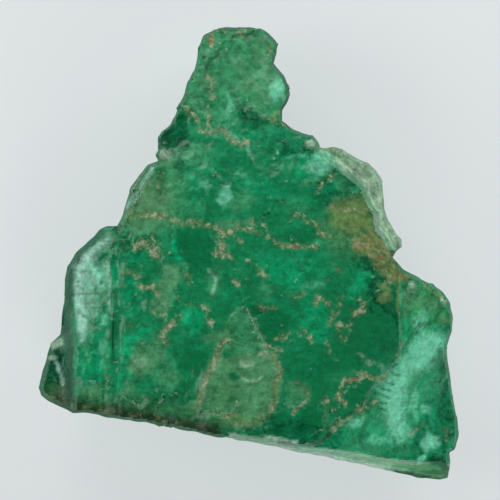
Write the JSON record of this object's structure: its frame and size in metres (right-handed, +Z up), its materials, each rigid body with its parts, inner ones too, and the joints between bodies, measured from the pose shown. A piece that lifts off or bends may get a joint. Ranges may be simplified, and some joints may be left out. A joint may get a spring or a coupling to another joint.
{
  "type": "raw emerald crystal",
  "caption": "Rough broken emerald crystal: a green beryl fragment with a narrow neck, a stepped front face and a smooth prism column, lying on its flat back.",
  "frame": {"origin": "under the middle of the bounding box, on the surface the flat back rests on", "axes": "+X across the piece, from the prism column to the sloped facet; +Y from the broad end to the narrow neck; +Z up, out of the front face"},
  "size_m": [0.0106, 0.0114, 0.0046],
  "materials": {
    "emerald": "cloudy translucent green crystal, vitreous on broken faces, with tan and rust stained cracks"
  },
  "bodies": {
    "root": {"emerald": "emerald"}
  },
  "joints": []
}
